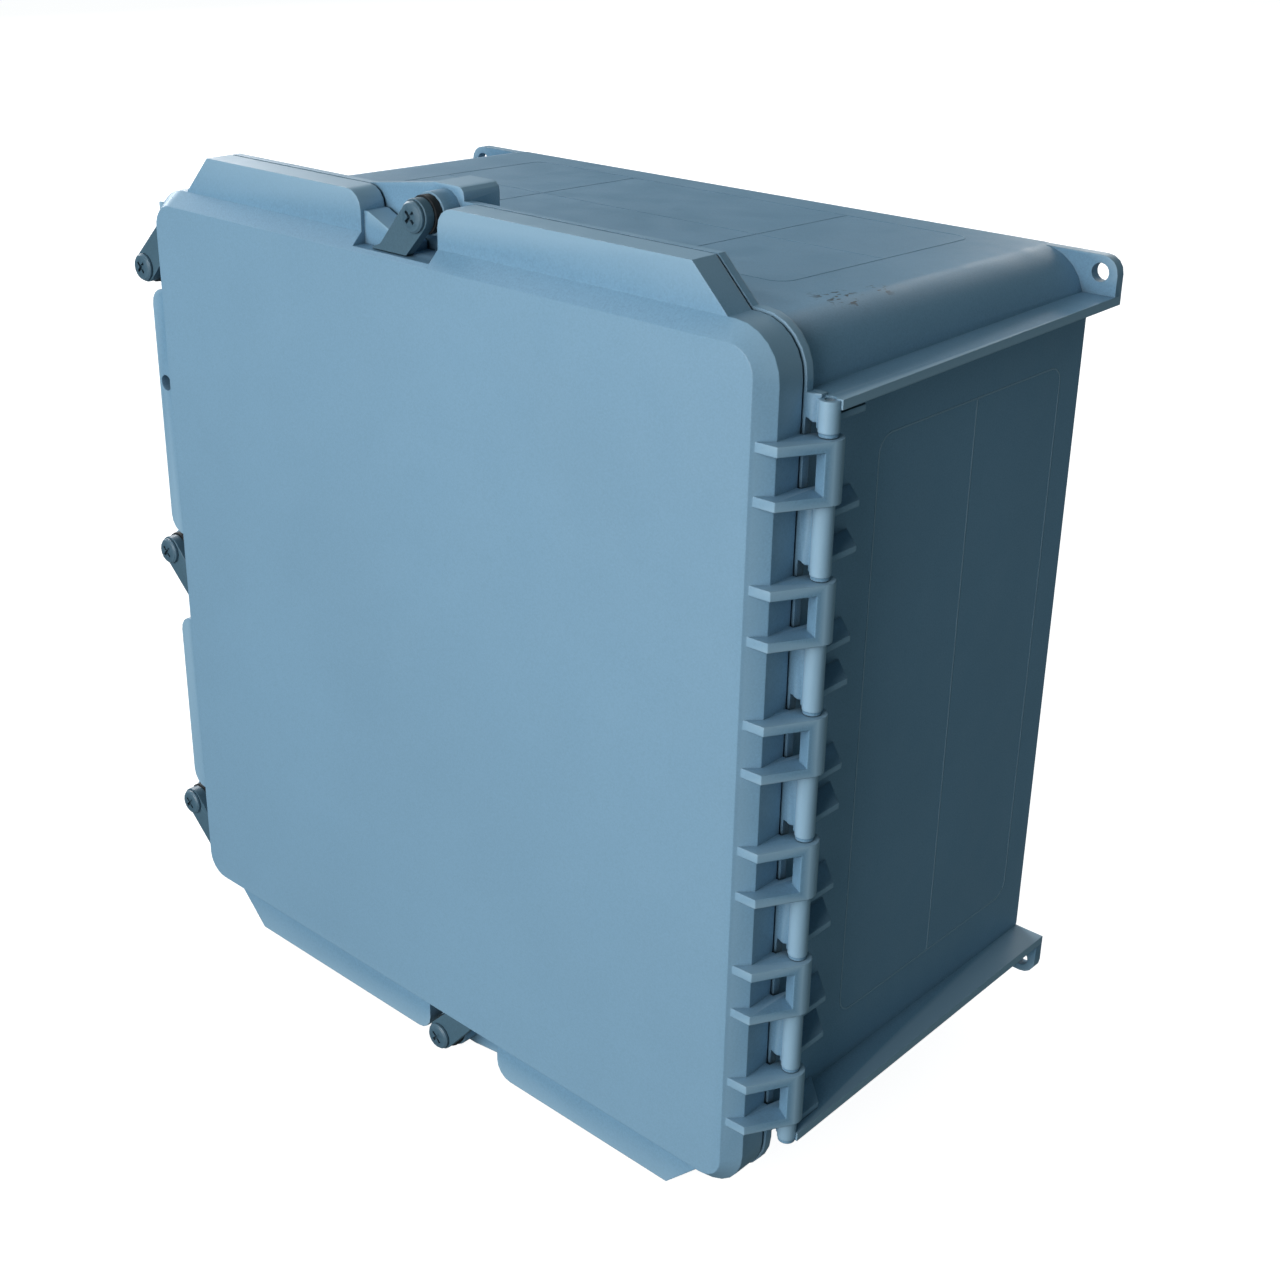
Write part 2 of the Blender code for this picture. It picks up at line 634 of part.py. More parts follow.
def make_clamp_set(station):
    clamp = plate("clamp_" + station, clamp_outline(station), CLAMP_FRONT, CLAMP_BACK)
    hole = ((CLAMP_HOLE, CLAMP_FRONT - 1.0), (CLAMP_HOLE, CLAMP_BACK + 1.0))
    cut(clamp, turned("hole", hole))
    washer_profile = ((WASHER_RADIUS, WASHER_FRONT), (WASHER_RADIUS, WASHER_BACK),
                      (CLAMP_HOLE, WASHER_BACK), (CLAMP_HOLE, WASHER_FRONT))
    washer = turned("clamp_washer_" + station, washer_profile, closed=True)
    screw = make_screw("clamp_screw_" + station, SCREW_HEAD_RADIUS, SCREW_HEAD_FRONT,
                       CLAMP_FRONT - GAP, SCREW_SHANK, SCREW_END)
    insert_profile = ((INSERT_RADIUS, BOSS_FRONT + GAP), (INSERT_RADIUS, INSERT_BACK),
                      (INSERT_BORE, INSERT_BACK), (INSERT_BORE, BOSS_FRONT + GAP))
    insert = turned("clamp_insert_" + station, insert_profile, closed=True)
    looks = ((clamp, "clamp"), (washer, "seal"), (screw, "steel"), (insert, "brass"))
    for solid, look in looks:
        at_station(solid, station)
        finish(solid, look)


# Inside the box -------------------------------------------------------------------------------

def drill(target, across, up, radius, front, back):
    cut(target, plate("hole", circle(across, up, radius, 12), front, back))


def make_small_screw(name, across, up, front, end, radius=SMALL_SCREW):
    screw = turned(name, ((3.4, front - 2.0), (3.4, front - GAP), (radius, front - GAP), (radius, end)), 12)
    screw.location = (across * MM, 0.0, up * MM)
    finish(screw, "steel")


def make_back_panel(holes):
    outline = rounded_rectangle((PANEL_HALF, PANEL_HALF), 8.0, 3)
    back = PANEL_FRONT + PANEL_THICK
    panel = plate("back_panel", outline, PANEL_FRONT, back)
    for across, up in holes:
        drill(panel, across, up, SMALL_SCREW_HOLE, PANEL_FRONT - 1.0, back + 1.0)
    number = 0
    for side in (1, -1):
        for level in (1, -1):
            number += 1
            across, up = side * STANDOFF, level * STANDOFF
            drill(panel, across, up, STANDOFF_HOLE, PANEL_FRONT - 1.0, back + 1.0)
            make_small_screw(f"panel_screw_{number}", across, up, PANEL_FRONT, STANDOFF_FRONT + 9.0, 2.0)
    finish(panel, "panel")


def adapter_places():
    return [(index - (ADAPTER_COUNT - 1) / 2) * ADAPTER_PITCH for index in range(ADAPTER_COUNT)]


def make_adapter_bracket(holes):
    """Folded sheet: a flange on the panel and a shelf that the adapters pass through."""
    fold = ON_PANEL - SHEET
    profile = [(SHELF_FRONT, SHELF_Z[0]), (ON_PANEL, SHELF_Z[0]), (ON_PANEL, SHELF_FLANGE_TOP),
               (fold, SHELF_FLANGE_TOP), (fold, SHELF_Z[1]), (SHELF_FRONT, SHELF_Z[1])]
    bracket = beam("adapter_bracket", profile, -SHELF_HALF, SHELF_HALF)
    for across in adapter_places():
        width = (across - ADAPTER_HALF[0] - GAP, across + ADAPTER_HALF[0] + GAP)
        depths = (ADAPTER_DEPTH - ADAPTER_HALF[1] - GAP, ADAPTER_DEPTH + ADAPTER_HALF[1] + GAP)
        cut(bracket, block("window", width, depths, (SHELF_Z[0] - 1.0, SHELF_Z[1] + 1.0)))
    for number, (across, up) in enumerate(holes, 1):
        drill(bracket, across, up, SMALL_SCREW_HOLE, fold - 1.0, ON_PANEL + 1.0)
        make_small_screw(f"adapter_bracket_screw_{number}", across, up, fold, PANEL_FRONT + 6.0)
    finish(bracket, "panel", smooth=False)


def centred_block(name, across, half, heights):
    """Block around an adapter's axis."""
    depths = (ADAPTER_DEPTH - half[1], ADAPTER_DEPTH + half[1])
    return block(name, (across - half[0], across + half[0]), depths, heights)


def make_adapter(number, across):
    """Adapter with a port at the top and a shuttered port at the bottom, and its dust cap."""
    bottom, top = ADAPTER_Z
    adapter = centred_block(f"adapter_{number}", across, ADAPTER_HALF, ADAPTER_Z)
    rest = SHELF_Z[1] + GAP
    add(adapter, centred_block("flange", across, (7.5, 8.5), (rest, rest + 2.0)))
    cut(adapter, centred_block("port", across, (3.4, 4.7), (top - 7.0, top + 1.0)))
    cut(adapter, centred_block("shutter", across, (3.4, 4.7), (bottom - 1.0, bottom + 1.2)))
    finish(adapter, "adapter", smooth=False)
    cap = centred_block(f"dust_cap_{number}", across, (4.4, 6.2), (top + GAP, top + 7.0))
    add(cap, centred_block("plug", across, (3.1, 4.4), (top - 6.0, top + 1.0)))
    finish(cap, "cap", smooth=False)


def open_tray(name, front, back):
    """Shallow tray with its floor at the back and two round posts for the fibre loops."""
    tray = block(name, TRAY_X, (front, back), TRAY_Z)
    inside_x = (TRAY_X[0] + TRAY_WALL, TRAY_X[1] - TRAY_WALL)
    inside_z = (TRAY_Z[0] + TRAY_WALL, TRAY_Z[1] - TRAY_WALL)
    cut(tray, block("inside", inside_x, (front - 1.0, back - SHEET), inside_z))
    middle = (TRAY_Z[0] + TRAY_Z[1]) / 2
    for across in (TRAY_X[0] + 40.0, TRAY_X[1] - 40.0):
        post = circle(across, middle, 14.0)
        add(tray, plate("post", post, front + 2.0, back - SHEET / 2))
    return tray


def make_trays(holes):
    centre = TRAY_PIN_AT
    lower = open_tray("splice_tray_lower", LOWER_TRAY_FRONT, ON_PANEL)
    inner = TRAY_X[0] + 1.0
    lug = arc(*centre, TRAY_BARREL, 180, 390, 8) + [(TRAY_X[0] - 2.0, LOWER_TRAY_FRONT + 0.4)]
    lug += [(inner, LOWER_TRAY_FRONT + 0.4), (inner, ON_PANEL - 0.4), (centre[0] - 2.0, ON_PANEL - 0.4)]
    for bottom, top in TRAY_LUGS:
        add(lower, column("lug", lug, bottom, top))
    cut(lower, column("bore", circle(*centre, TRAY_BORE, 12), TRAY_LUGS[0][0] - 1.0, TRAY_LUGS[1][1] + 1.0))
    for number, (across, up) in enumerate(holes, 1):
        drill(lower, across, up, SMALL_SCREW_HOLE, ON_PANEL - SHEET - 1.0, ON_PANEL + 1.0)
        make_small_screw(f"tray_screw_{number}", across, up, ON_PANEL - SHEET, PANEL_FRONT + 6.0)
    finish(lower, "tray")

    upper = open_tray("splice_tray_upper", *UPPER_TRAY)
    add(upper, column("barrel", circle(*centre, TRAY_BARREL), *TRAY_KNUCKLE))
    link = rectangle((centre[0], centre[1] - 2.0), (TRAY_X[0] + 1.0, centre[1] + 2.0))
    add(upper, column("link", link, TRAY_KNUCKLE[0] + 1.0, TRAY_KNUCKLE[1] - 1.0))
    cut(upper, column("bore", circle(*centre, TRAY_BORE, 12), TRAY_KNUCKLE[0] - 1.0, TRAY_KNUCKLE[1] + 1.0))
    move_origin(upper, *centre, 0.0)
    finish(upper, "tray")

    pin = column("tray_pin", circle(*centre, TRAY_PIN_RADIUS, 12), TRAY_LUGS[0][0], TRAY_LUGS[1][1])
    finish(pin, "steel")

    front = UPPER_TRAY[0]
    lid = block("tray_lid", TRAY_X, (front - GAP - 1.5, front - GAP), TRAY_Z)
    lip = TRAY_WALL + GAP
    lip_x = (TRAY_X[0] + lip, TRAY_X[1] - lip)
    lip_z = (TRAY_Z[0] + lip, TRAY_Z[1] - lip)
    add(lid, block("lip", lip_x, (front - 1.0, front + 1.6), lip_z))
    hollow_x = (lip_x[0] + 1.4, lip_x[1] - 1.4)
    hollow_z = (lip_z[0] + 1.4, lip_z[1] - 1.4)
    cut(lid, block("hollow", hollow_x, (front - GAP, front + 3.0), hollow_z))
    move_origin(lid, *centre, 0.0)
    finish(lid, "lid", smooth=False)


def make_spools():
    profile = ((SPOOL_BORE, ON_PANEL), (SPOOL_DRUM, ON_PANEL), (SPOOL_DRUM, SPOOL_FRONT + 2.0),
               (SPOOL_LIP, SPOOL_FRONT + 2.0), (SPOOL_LIP, SPOOL_FRONT), (SPOOL_BORE, SPOOL_FRONT))
    for number, (across, up) in enumerate(SPOOLS, 1):
        spool = turned(f"slack_spool_{number}", profile, 24, closed=True)
        spool.location = (across * MM, 0.0, up * MM)
        finish(spool, "tray")


def make_cable_clamp(holes):
    """Block and strap with two round grooves for the incoming cables."""
    width = (-CABLE_BLOCK_HALF, CABLE_BLOCK_HALF)
    base = block("cable_clamp_base", width, (CABLE_SPLIT, ON_PANEL), CABLE_BLOCK_Z)
    strap = block("cable_clamp_strap", width, (CABLE_STRAP_FRONT, CABLE_SPLIT - GAP), CABLE_BLOCK_Z)
    for solid in (base, strap):
        for across in (-CABLE_AT, CABLE_AT):
            groove = circle(across, CABLE_SPLIT, CABLE_RADIUS)
            cut(solid, column("groove", groove, CABLE_BLOCK_Z[0] - 1.0, CABLE_BLOCK_Z[1] + 1.0))
        for across, up in holes:
            drill(solid, across, up, SMALL_SCREW_HOLE, CABLE_STRAP_FRONT - 1.0, ON_PANEL + 1.0)
        finish(solid, "tray")
    for number, (across, up) in enumerate(holes, 1):
        make_small_screw(f"cable_clamp_screw_{number}", across, up, CABLE_STRAP_FRONT, PANEL_FRONT + 6.0)


def main():
    for old in list(bpy.data.objects):
        bpy.data.objects.remove(old)
    make_body()
    make_cover()
    make_gasket()
    make_hinge_pin()
    for station in CLAMPS:
        make_clamp_set(station)

    shelf_middle = (SHELF_Z[1] + SHELF_FLANGE_TOP) / 2
    bracket_holes = [(side * (SHELF_HALF - 8.0), shelf_middle) for side in (1, -1)]
    tray_middle = (TRAY_Z[0] + TRAY_Z[1]) / 2
    tray_holes = [(side * 65.0 + (TRAY_X[0] + TRAY_X[1]) / 2, tray_middle) for side in (1, -1)]
    cable_holes = [(side * CABLE_SCREW_AT, sum(CABLE_BLOCK_Z) / 2) for side in (1, -1)]
    make_back_panel(bracket_holes + tray_holes + cable_holes)
    make_adapter_bracket(bracket_holes)
    for number, across in enumerate(adapter_places(), 1):
        make_adapter(number, across)
    make_trays(tray_holes)
    make_spools()
    make_cable_clamp(cable_holes)


main()
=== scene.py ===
import json
import math

import bmesh
import bpy
from mathutils import Matrix, Vector


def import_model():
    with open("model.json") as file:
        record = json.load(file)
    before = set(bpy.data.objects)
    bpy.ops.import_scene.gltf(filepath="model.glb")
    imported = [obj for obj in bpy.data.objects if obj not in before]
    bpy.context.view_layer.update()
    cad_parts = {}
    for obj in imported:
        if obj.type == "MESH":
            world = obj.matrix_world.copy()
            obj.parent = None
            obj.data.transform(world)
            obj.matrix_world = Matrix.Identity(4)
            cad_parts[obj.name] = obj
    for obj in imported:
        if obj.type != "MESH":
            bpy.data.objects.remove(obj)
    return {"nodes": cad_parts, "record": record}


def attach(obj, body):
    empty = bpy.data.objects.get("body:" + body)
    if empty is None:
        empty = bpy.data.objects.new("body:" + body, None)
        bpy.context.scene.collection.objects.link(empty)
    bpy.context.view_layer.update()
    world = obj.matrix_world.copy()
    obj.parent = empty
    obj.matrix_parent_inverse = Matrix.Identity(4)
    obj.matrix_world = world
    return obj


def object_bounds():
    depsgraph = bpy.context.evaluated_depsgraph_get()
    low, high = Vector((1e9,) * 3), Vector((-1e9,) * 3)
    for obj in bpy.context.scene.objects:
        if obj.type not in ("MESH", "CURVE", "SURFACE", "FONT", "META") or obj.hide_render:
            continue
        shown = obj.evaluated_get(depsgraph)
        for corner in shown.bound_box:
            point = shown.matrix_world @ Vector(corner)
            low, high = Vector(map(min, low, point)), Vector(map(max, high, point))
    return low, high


MM = 0.001
FRONT_TO_WALL = 263.0

# Camera: where the viewer stands, and how the frame sits around the box.
CAMERA_AT = (0.6418, -0.8201, 0.4060)
CAMERA_AZIMUTH = 43.147
CAMERA_DOWN = 23.047
CAMERA_ROLL = 0.393
CAMERA_LENS = 51.13
CAMERA_SHIFT = (0.0377, -0.0418)

# Colours, linear.
HOUSING = (0.175, 0.320, 0.455)
# Each _PALE colour lightens its piece's outer edges: part rubbed wear, part painted highlight.
HOUSING_PALE = (0.30, 0.45, 0.57)
# Darker colour of the top and bottom mould lines: painted shade of their thin shadow line.
LINE_SHADE = (0.14, 0.25, 0.35)
CLAMP = (0.068, 0.132, 0.180)
CLAMP_PALE = (0.13, 0.21, 0.27)
SCREW = (0.060, 0.118, 0.165)
SCUFF = (0.030, 0.040, 0.048)
WASHER = (0.012, 0.014, 0.016)
GASKET = (0.02, 0.02, 0.02)
BRASS = (0.75, 0.56, 0.28)
STEEL = (0.60, 0.61, 0.62)
PANEL = (0.72, 0.73, 0.73)
ADAPTER = (0.02, 0.22, 0.07)
ADAPTER_PALE = (0.06, 0.32, 0.13)
DUST_CAP = (0.72, 0.72, 0.66)
DUST_CAP_PALE = (0.82, 0.82, 0.78)
TRAY = (0.018, 0.020, 0.022)
TRAY_PALE = (0.06, 0.065, 0.07)
LID = (0.40, 0.45, 0.47)
LID_PALE = (0.55, 0.60, 0.62)
WHITE = (1.0, 1.0, 1.0)
SKY = (0.66, 0.93, 1.0)

# Wear, scuffs, pale edges that are part wear and part painted highlight, and painted shade in
# crevices. A scuff is a place, a radius, a stretch of its noise and the level it starts at.
# Pointiness range for pale outer edges: rubbed wear and painted highlight.
EDGE_WEAR_AND_HIGHLIGHT = (0.53, 0.62)
# The next four set painted shade in gaps and recesses: the mask's range, its reach on small and on
# housing pieces, and how dark it gets.
CREVICE = (0.12, 0.58)
CREVICE_REACH = 2.5
HOUSING_REACH = 9.0
CREVICE_SHADE = 0.14
SCUFFS = (((0.186, -0.178, 0.210), 0.015, (1.0, 0.45, 1.6), 0.57),
          ((0.188, -0.152, 0.209), 0.009, (1.0, 0.35, 1.4), 0.60))
SCUFF_CORE = 0.45
SCUFF_EDGE = 0.05

# Rounding of hard edges in millimetres: shaded on most pieces, bevelled on the clamps.
SHADED_ROUND = 0.8
SMALL_ROUND = 0.3
CLAMP_ROUND = 0.8
FLAT_ANGLE = math.radians(1.0)
SHARP_ANGLE = math.radians(29.0)
WELD = 0.00001
ROUND_SAMPLES = 6

# Fine raised lines that the mould leaves on the walls: depths, half widths, line size.
LINE_DEPTHS = (87.0, 166.0, 243.0)
LINE_HALF = 154.0
LINE_ACROSS = 76.0
LINE_WIDTH = 0.9
LINE_PROUD = 0.15
LINE_SUNK = -0.3
LINE_CORNER = 9.0
SHELL_FRONT = 26.9
SHELL_HALF_FRONT = (212.0, 214.0)
SHELL_HALF_BACK = (211.7, 208.9)

# Stage. A light is a name, a direction, a distance, a size, a power and a colour.
LIGHTS = (("front", (0.02, -0.97, 0.27), 2.6, 2.3, 77.0, (0.95, 0.985, 1.0)),
          ("high_left", (-0.80, 0.22, 0.44), 5.0, 3.0, 205.0, (0.97, 0.98, 1.0)),
          ("back", (-0.25, 0.93, 0.26), 5.0, 2.0, 32.0, (1.0, 0.97, 0.93)))
LIT_POINT = (0.0, -0.12, 0.0)
SKY_STRENGTH = 0.145
FLOOR_HALF = 60.0
FLOOR_GLOW = 0.93


# Shape helpers --------------------------------------------------------------------------------

def weld_corners(piece):
    weld = piece.modifiers.new("weld", 'WELD')
    weld.merge_threshold = WELD


def join_flats(piece):
    """Weld the imported corners and join flat triangles back into faces."""
    weld_corners(piece)
    flat = piece.modifiers.new("flat", 'DECIMATE')
    flat.decimate_type = 'DISSOLVE'
    flat.angle_limit = FLAT_ANGLE


def weigh_normals(piece):
    normals = piece.modifiers.new("normals", 'WEIGHTED_NORMAL')
    normals.keep_sharp = False
    normals.weight = 80
    piece.data.shade_smooth()


def crisp(piece, large):
    """Smooth curves and hard edges; flat triangles are joined on large pieces only."""
    if large:
        join_flats(piece)
    else:
        weld_corners(piece)
    split = piece.modifiers.new("split", 'EDGE_SPLIT')
    split.use_edge_angle = True
    split.split_angle = SHARP_ANGLE
    split.use_edge_sharp = False
    weigh_normals(piece)


def round_edges(piece, width):
    """Give every hard edge a small radius."""
    join_flats(piece)
    bevel = piece.modifiers.new("round", 'BEVEL')
    bevel.width = width * MM
    bevel.segments = 3
    bevel.limit_method = 'ANGLE'
    bevel.angle_limit = SHARP_ANGLE
    bevel.use_clamp_overlap = True
    bevel.miter_outer = 'MITER_ARC'
    weigh_normals(piece)


def rounded_rectangle(low, high, radius, steps=5):
    outline = []
    for quarter, (side, level) in enumerate(((1, 1), (0, 1), (0, 0), (1, 0))):
        across = high[0] - radius if side else low[0] + radius
        along = high[1] - radius if level else low[1] + radius
        for step in range(steps + 1):
            angle = math.radians(90.0 * (quarter + step / steps))
            outline.append((across + radius * math.cos(angle), along + radius * math.sin(angle)))
    return outline


def add_ring(shape, outer, inner, spot):
    """Closed low ridge between two outlines; spot(across, depth, height) gives the place."""
    loops = []
    for outline, height in ((outer, LINE_SUNK), (outer, LINE_PROUD),
                            (inner, LINE_PROUD), (inner, LINE_SUNK)):
        loops.append([shape.verts.new(spot(across, depth, height)) for across, depth in outline])
    count = len(outer)
    for near, far in zip(loops, loops[1:] + loops[:1]):
        for here in range(count):
            there = (here + 1) % count
            shape.faces.new((near[here], near[there], far[there], far[here]))


def add_strip(shape, start, end, spot):
    """Closed low ridge along a straight line."""
    along = Vector(end) - Vector(start)
    side = Vector((-along.y, along.x)).normalized() * LINE_WIDTH / 2
    corners = [Vector(start) + side, Vector(start) - side, Vector(end) - side, Vector(end) + side]
    low = [shape.verts.new(spot(corner.x, corner.y, LINE_SUNK)) for corner in corners]
    high = [shape.verts.new(spot(corner.x, corner.y, LINE_PROUD)) for corner in corners]
    shape.faces.new(low)
    shape.faces.new(high)
    for here in range(4):
        there = (here + 1) % 4
        shape.faces.new((low[here], low[there], high[there], high[here]))


def wall_spot(axis, side):
    """Place on the outside of a tapered wall: axis 0 is left or right, 1 is bottom or top."""
    def spot(across, depth, height):
        part = (depth - SHELL_FRONT) / (FRONT_TO_WALL - SHELL_FRONT)
        out = SHELL_HALF_FRONT[axis] + (SHELL_HALF_BACK[axis] - SHELL_HALF_FRONT[axis]) * part + height
        flat = (side * out, across) if axis == 0 else (across, side * out)
        return Vector((flat[0] * MM, (depth - FRONT_TO_WALL) * MM, flat[1] * MM))
    return spot


def make_mould_lines(name, axis, side, look):
    """Outline of the mould's insert on one wall, with the lines that divide it."""
    shape = bmesh.new()
    spot = wall_spot(axis, side)
    front, middle, back = LINE_DEPTHS
    half = Vector((LINE_WIDTH / 2, LINE_WIDTH / 2))
    low, high = Vector((-LINE_HALF, front)), Vector((LINE_HALF, back))
    outer = rounded_rectangle(low - half, high + half, LINE_CORNER + half.x)
    inner = rounded_rectangle(low + half, high - half, LINE_CORNER - half.x)
    add_ring(shape, outer, inner, spot)
    add_strip(shape, (-LINE_HALF, middle), (LINE_HALF, middle), spot)
    if axis == 1:
        for across in (-LINE_ACROSS, LINE_ACROSS):
            add_strip(shape, (across, front), (across, back), spot)
    bmesh.ops.recalc_face_normals(shape, faces=shape.faces)
    mesh = bpy.data.meshes.new(name)
    shape.to_mesh(mesh)
    shape.free()
    mesh.materials.append(look)
    piece = bpy.data.objects.new(name, mesh)
    bpy.context.scene.collection.objects.link(piece)
    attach(piece, "enclosure")


# Material helpers -----------------------------------------------------------------------------

class Look:
    """A Principled material and short calls for the nodes that drive it."""

    def __init__(self, name, colour, roughness, metallic=0.0):
        self.material = bpy.data.materials.new(name)
        self.material.use_nodes = True
        self.nodes = self.material.node_tree.nodes
        self.links = self.material.node_tree.links
        self.shader = self.nodes["Principled BSDF"]
        self.shader.inputs["Base Color"].default_value = (*colour, 1.0)
        self.shader.inputs["Roughness"].default_value = roughness
        self.shader.inputs["Metallic"].default_value = metallic
        self.place = self.nodes.new("ShaderNodeTexCoord").outputs["Object"]

    def link(self, source, target):
        self.links.new(source, target)

    def noise(self, scale, detail=2.0, stretch=(1.0, 1.0, 1.0)):
        """Noise with a stated number of features per metre."""
        mapping = self.nodes.new("ShaderNodeMapping")
        mapping.inputs["Scale"].default_value = stretch
        self.link(self.place, mapping.inputs["Vector"])
        noise = self.nodes.new("ShaderNodeTexNoise")
        noise.inputs["Scale"].default_value = scale
        noise.inputs["Detail"].default_value = detail
        self.link(mapping.outputs["Vector"], noise.inputs["Vector"])
        return noise.outputs["Fac"]

    def spread(self, value, low, high, to_low=0.0, to_high=1.0):
        node = self.nodes.new("ShaderNodeMapRange")
        node.inputs["From Min"].default_value = low
        node.inputs["From Max"].default_value = high
        node.inputs["To Min"].default_value = to_low
        node.inputs["To Max"].default_value = to_high
        self.link(value, node.inputs["Value"])
        return node.outputs["Result"]

    def maths(self, operation, first, second):
        node = self.nodes.new("ShaderNodeMath")
        node.operation = operation
        for socket, value in zip(node.inputs, (first, second)):
            if isinstance(value, float):
                socket.default_value = value
            else:
                self.link(value, socket)
        return node.outputs[0]

    def near(self, centre, radius):
        """1 at a place on the piece, fading to 0 at a radius around it."""
        node = self.nodes.new("ShaderNodeVectorMath")
        node.operation = 'DISTANCE'
        node.inputs[1].default_value = centre
        self.link(self.place, node.inputs[0])
        return self.spread(node.outputs["Value"], radius * SCUFF_CORE, radius, 1.0, 0.0)

    def blend(self, amount, first, second):
        """Colour between two colours or colour outputs."""
        node = self.nodes.new("ShaderNodeMix")
        node.data_type = 'RGBA'
        self.link(amount, node.inputs["Factor"])
        for socket, colour in ((node.inputs[6], first), (node.inputs[7], second)):
            if isinstance(colour, tuple):
                socket.default_value = (*colour, 1.0)
            else:
                self.link(colour, socket)
        return node.outputs[2]

    def rounded(self, radius):
        """Normal with hard edges rounded."""
        node = self.nodes.new("ShaderNodeBevel")
        node.samples = ROUND_SAMPLES
        node.inputs["Radius"].default_value = radius * MM
        return node.outputs["Normal"]

    def bump(self, height, strength, distance, below=None):
        node = self.nodes.new("ShaderNodeBump")
        node.inputs["Strength"].default_value = strength
        node.inputs["Distance"].default_value = distance
        self.link(height, node.inputs["Height"])
        if below is not None:
            self.link(below, node.inputs["Normal"])
        self.link(node.outputs["Normal"], self.shader.inputs["Normal"])
        return node.outputs["Normal"]

    def crevice(self, reach):
        """Mask for painted shade: 1 deep in narrow gaps and recesses, 0 on open faces."""
        node = self.nodes.new("ShaderNodeAmbientOcclusion")
        node.samples = ROUND_SAMPLES
        node.inputs["Distance"].default_value = reach * MM
        return self.spread(node.outputs["AO"], *CREVICE, 1.0, 0.0)

    def edges(self):
        """Mask of outer edges, for rubbed wear and painted edge highlights."""
        point = self.nodes.new("ShaderNodeNewGeometry").outputs["Pointiness"]
        return self.spread(point, *EDGE_WEAR_AND_HIGHLIGHT)


def shade(colour, amount):
    return tuple(part * amount for part in colour)


def moulded(name, colour, pale, roughness, pebble=0.12, soft_edges=SMALL_ROUND, scuffs=(),
            reach=CREVICE_REACH):
    """Satin moulded plastic: cloudy tone, specks, pebble grain, pale edges as rubbed wear and painted
    highlight, painted shade in crevices.
    """
    look = Look(name, colour, roughness)
    cloud = look.spread(look.noise(9.0, 4.0), 0.35, 0.65)
    tone = look.blend(cloud, shade(colour, 0.93), shade(colour, 1.07))
    grain = look.spread(look.noise(1100.0, 2.0), 0.3, 0.7)
    dark = look.blend(grain, shade(colour, 0.82), shade(colour, 1.10))
    mixed = look.blend(look.spread(look.noise(260.0), 0.2, 0.8, 0.35, 0.75), tone, dark)
    # Outer edges turn pale: part rubbed wear, part painted highlight.
    worn_and_highlit = look.blend(look.edges(), mixed, pale)
    for centre, radius, stretch, cut in scuffs:
        streak = look.spread(look.noise(430.0, 2.0, stretch), cut, cut + SCUFF_EDGE)
        worn_and_highlit = look.blend(look.maths('MULTIPLY', streak, look.near(centre, radius)), worn_and_highlit, SCUFF)
    # Painted shade: gaps and recesses are darkened in the base colour.
    crevice_shaded = look.blend(look.crevice(reach), worn_and_highlit, shade(colour, CREVICE_SHADE))
    look.link(crevice_shaded, look.shader.inputs["Base Color"])
    rough = look.spread(look.noise(55.0, 3.0), 0.3, 0.7, roughness - 0.05, roughness + 0.06)
    look.link(rough, look.shader.inputs["Roughness"])
    coarse = look.bump(look.noise(800.0, 3.0), pebble, 0.0002, look.rounded(soft_edges))
    look.bump(look.noise(30.0, 2.0), 0.08, 0.0008, coarse)
    return look.material


def metal(name, colour, roughness, brushed=(1.0, 1.0, 12.0)):
    """Machined metal with fine turning marks."""
    look = Look(name, colour, roughness, 1.0)
    marks = look.noise(700.0, 3.0, brushed)
    rough = look.spread(marks, 0.3, 0.7, roughness - 0.08, roughness + 0.12)
    look.link(rough, look.shader.inputs["Roughness"])
    tone = look.blend(look.spread(look.noise(200.0), 0.3, 0.7), shade(colour, 0.82), colour)
    look.link(tone, look.shader.inputs["Base Color"])
    look.bump(marks, 0.08, 0.0001)
    return look.material


def rubber(name, colour):
    look = Look(name, colour, 0.75)
    tone = look.blend(look.spread(look.noise(500.0), 0.3, 0.7), shade(colour, 0.7), shade(colour, 1.4))
    look.link(tone, look.shader.inputs["Base Color"])
    look.bump(look.noise(1200.0, 3.0), 0.3, 0.0002)
    return look.material


def powder_coat(name, colour):
    look = Look(name, colour, 0.42)
    tone = look.blend(look.spread(look.noise(25.0, 3.0), 0.3, 0.7), shade(colour, 0.95), colour)
    look.link(tone, look.shader.inputs["Base Color"])
    look.bump(look.noise(700.0, 2.0), 0.18, 0.0003)
    return look.material


def make_looks():
    """One material for each material slot of the record."""
    return {
        "housing": moulded("housing", HOUSING, HOUSING_PALE, 0.40, 0.12, SHADED_ROUND, SCUFFS,
                           HOUSING_REACH),
        "clamp": moulded("clamp", CLAMP, CLAMP_PALE, 0.42),
        "washer": rubber("washer", WASHER),
        "clamp_screw": moulded("clamp_screw", SCREW, CLAMP_PALE, 0.38, 0.05),
        "insert": metal("insert", BRASS, 0.3),
        "gasket": rubber("gasket", GASKET),
        "steel": metal("steel", STEEL, 0.32),
        "panel": powder_coat("panel", PANEL),
        "adapter": moulded("adapter", ADAPTER, ADAPTER_PALE, 0.4),
        "dust_cap": moulded("dust_cap", DUST_CAP, DUST_CAP_PALE, 0.45),
        "tray": moulded("tray", TRAY, TRAY_PALE, 0.4),
        "lid": moulded("lid", LID, LID_PALE, 0.18),
    }


# Stage ----------------------------------------------------------------------------------------

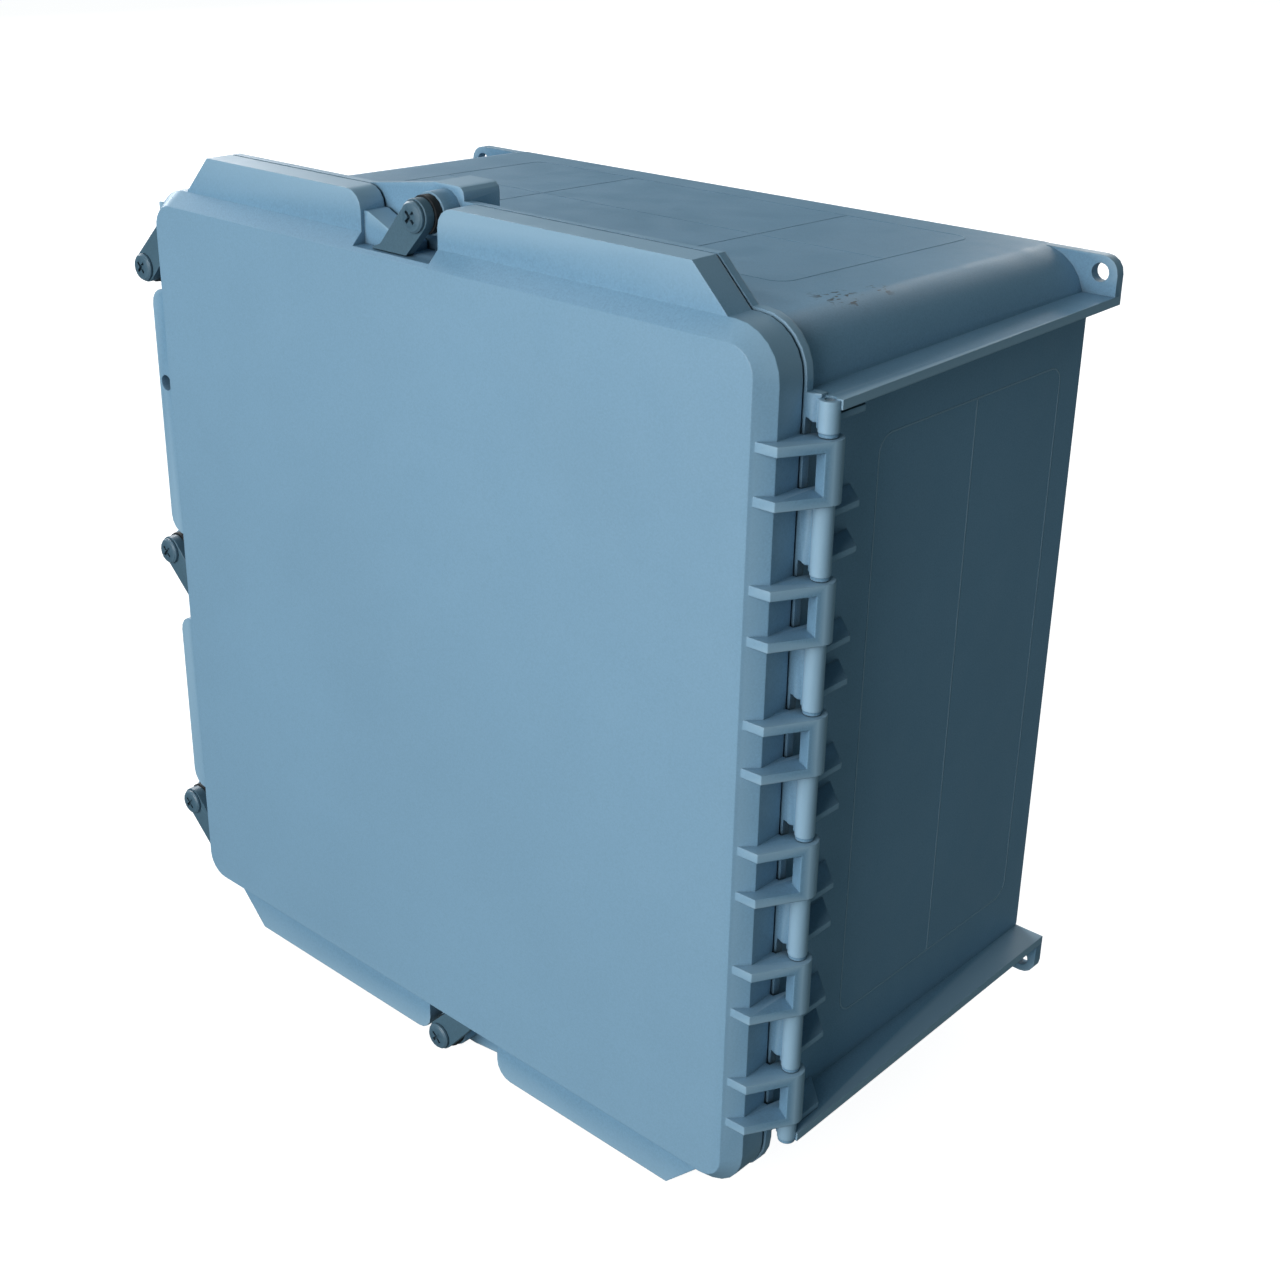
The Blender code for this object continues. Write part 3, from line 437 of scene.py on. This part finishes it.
def make_camera():
    data = bpy.data.cameras.new("camera")
    data.lens = CAMERA_LENS
    data.sensor_width = 36.0
    data.shift_x, data.shift_y = CAMERA_SHIFT
    camera = bpy.data.objects.new("camera", data)
    turn = Matrix.Rotation(math.radians(CAMERA_AZIMUTH), 4, 'Z')
    tilt = Matrix.Rotation(math.radians(90.0 - CAMERA_DOWN), 4, 'X')
    roll = Matrix.Rotation(math.radians(CAMERA_ROLL), 4, 'Z')
    camera.matrix_world = Matrix.Translation(CAMERA_AT) @ turn @ tilt @ roll
    bpy.context.scene.collection.objects.link(camera)
    bpy.context.scene.camera = camera


def make_light(name, towards, distance, size, power, colour):
    """Soft square light that faces the box from a direction."""
    data = bpy.data.lights.new(name, 'AREA')
    data.shape = 'SQUARE'
    data.size = size
    data.energy = power
    data.color = colour
    light = bpy.data.objects.new(name, data)
    direction = Vector(towards).normalized()
    light.location = Vector(LIT_POINT) + direction * distance
    light.rotation_euler = direction.to_track_quat('Z', 'Y').to_euler()
    bpy.context.scene.collection.objects.link(light)


def make_floor(lowest):
    """Large pale floor, bright enough by itself to look like white studio paper."""
    shape = bmesh.new()
    bmesh.ops.create_grid(shape, x_segments=8, y_segments=8, size=FLOOR_HALF)
    mesh = bpy.data.meshes.new("floor")
    shape.to_mesh(mesh)
    shape.free()
    floor = bpy.data.objects.new("floor", mesh)
    floor.location = (0.0, 0.0, lowest)
    bpy.context.scene.collection.objects.link(floor)
    paper = Look("floor", (0.40, 0.40, 0.40), 1.0)
    tone = paper.blend(paper.noise(0.6), (0.39, 0.39, 0.39), (0.41, 0.41, 0.41))
    paper.link(tone, paper.shader.inputs["Base Color"])
    paper.shader.inputs["Specular IOR Level"].default_value = 0.0
    paper.shader.inputs["Emission Color"].default_value = (*WHITE, 1.0)
    paper.shader.inputs["Emission Strength"].default_value = FLOOR_GLOW
    mesh.materials.append(paper.material)
    floor.visible_diffuse = False
    floor.visible_glossy = False


def make_world():
    """Pale blue light from all around, seen as plain white by the camera."""
    world = bpy.data.worlds.new("studio")
    world.use_nodes = True
    nodes, links = world.node_tree.nodes, world.node_tree.links
    sky = nodes["Background"]
    sky.inputs["Color"].default_value = (*SKY, 1.0)
    sky.inputs["Strength"].default_value = SKY_STRENGTH
    white = nodes.new("ShaderNodeBackground")
    white.inputs["Color"].default_value = (*WHITE, 1.0)
    seen = nodes.new("ShaderNodeMixShader")
    links.new(nodes.new("ShaderNodeLightPath").outputs["Is Camera Ray"], seen.inputs[0])
    links.new(sky.outputs[0], seen.inputs[1])
    links.new(white.outputs[0], seen.inputs[2])
    links.new(seen.outputs[0], nodes["World Output"].inputs["Surface"])
    bpy.context.scene.world = world


def make_stage(lowest):
    bpy.context.scene.view_settings.view_transform = 'Standard'
    make_floor(lowest)
    make_world()
    for light in LIGHTS:
        make_light(*light)


def main():
    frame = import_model()
    cad_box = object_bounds()
    make_camera()
    looks = make_looks()
    slot_of = {part["node"]: part["material_slot"] for part in frame["record"]["subparts"]}
    for name, node in frame["nodes"].items():
        node.data.materials.clear()
        node.data.materials.append(looks[slot_of[name]])
        if slot_of[name] == "clamp":
            round_edges(node, CLAMP_ROUND)
        else:
            crisp(node, slot_of[name] == "housing")
    # Top and bottom lines get a darker colour, painted shade for their thin shadow line; the side
    # lines keep the housing colour.
    shaded_lines = moulded("housing_line_shaded", LINE_SHADE, HOUSING, 0.45)
    for name, axis, side, look in (("top", 1, 1, shaded_lines), ("bottom", 1, -1, shaded_lines),
                                   ("right", 0, 1, looks["housing"]),
                                   ("left", 0, -1, looks["housing"])):
        make_mould_lines("mould_lines_" + name, axis, side, look)
    make_stage(cad_box[0][2])


main()
